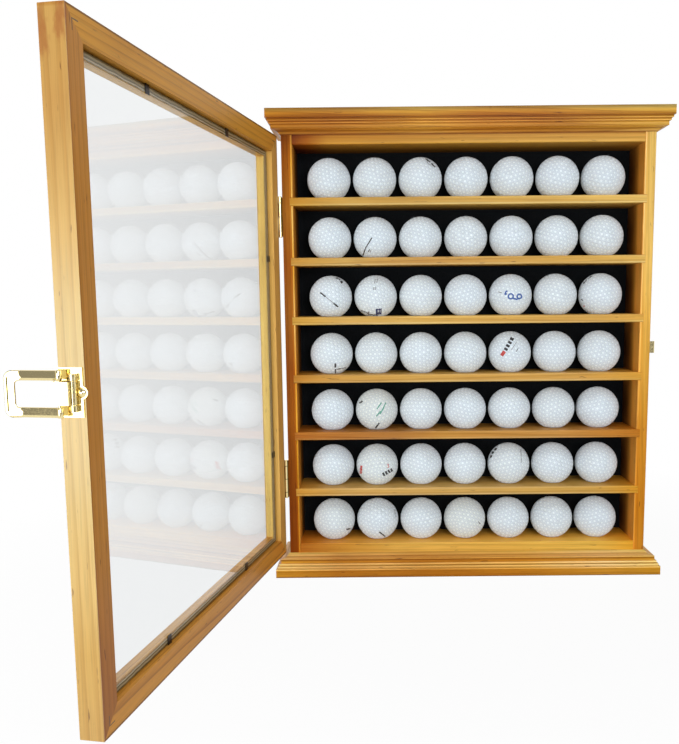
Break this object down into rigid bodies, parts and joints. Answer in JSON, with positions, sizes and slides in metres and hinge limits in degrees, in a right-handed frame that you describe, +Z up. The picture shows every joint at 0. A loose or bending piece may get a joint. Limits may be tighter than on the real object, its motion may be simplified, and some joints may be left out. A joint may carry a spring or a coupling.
{
  "type": "ball display case",
  "caption": "Shelved pine display case for golf balls with crown and base mouldings, a hinged clear-paned door and a brass draw latch.",
  "frame": {"origin": "middle of the underside of the base board", "axes": "+X to the right seen from the front, -Y out of the open front, +Z up; the door is drawn open at the left"},
  "size_m": [0.49, 0.4125, 0.4552],
  "materials": {
    "case_pine": "satin honey stain",
    "moulding_pine": "satin honey stain",
    "door_pine": "satin honey stain",
    "black_backing": "black painted board",
    "clear_pane": "clear acrylic sheet",
    "brass": "polished",
    "nail_steel": "dull",
    "black_steel": "black",
    "golf_ball": "gloss white"
  },
  "bodies": {
    "case": {"back_panel": "black_backing", "base_board": "moulding_pine", "base_moulding_front": "moulding_pine", "base_moulding_left": "moulding_pine", "base_moulding_right": "moulding_pine", "bottom_board": "case_pine", "crown_board": "moulding_pine", "crown_moulding_front": "moulding_pine", "crown_moulding_left": "moulding_pine", "crown_moulding_right": "moulding_pine", "golf_balls_row_1": "golf_ball", "golf_balls_row_2": "golf_ball", "golf_balls_row_3": "golf_ball", "golf_balls_row_4": "golf_ball", "golf_balls_row_5": "golf_ball", "golf_balls_row_6": "golf_ball", "golf_balls_row_7": "golf_ball", "hinge_leaf_case_lower": "brass", "hinge_leaf_case_upper": "brass", "hinge_pin_lower": "brass", "hinge_pin_upper": "brass", "hinge_screws_case": "brass", "shelf_1": "case_pine", "shelf_2": "case_pine", "shelf_3": "case_pine", "shelf_4": "case_pine", "shelf_5": "case_pine", "shelf_6": "case_pine", "side_panel_left": "case_pine", "side_panel_right": "case_pine", "strike_plate": "brass", "strike_screws": "brass", "top_board": "case_pine"},
    "door": {"door_pane": "clear_pane", "door_rail_bottom": "door_pine", "door_rail_top": "door_pine", "door_stile_free": "door_pine", "door_stile_hinge": "door_pine", "glazing_points": "black_steel", "hinge_leaf_door_lower": "brass", "hinge_leaf_door_upper": "brass", "hinge_screws_door": "brass", "latch_lever_pin": "brass", "latch_plate": "brass", "latch_screws": "brass", "mitre_nails": "nail_steel"},
    "latch_lever": {"latch_lever": "brass", "latch_bail_pin": "brass"},
    "latch_bail": {"latch_bail": "brass"}
  },
  "joints": [
    {"name": "door_swing", "type": "hinge", "parent": "case", "child": "door", "pos_m": [-0.1816, -0.02698, 0.22759], "axis": [0, 0, 1], "range_deg": [-79.4, 100.6]},
    {"name": "latch_lever_throw", "type": "hinge", "parent": "door", "child": "latch_lever", "pos_m": [-0.25503, -0.3835, 0.22759], "axis": [0, 0, 1], "range_deg": [0, 90]},
    {"name": "latch_bail_swing", "type": "hinge", "parent": "latch_lever", "child": "latch_bail", "pos_m": [-0.26201, -0.38494, 0.22734], "axis": [0, 0, 1], "range_deg": [0, 90]}
  ]
}
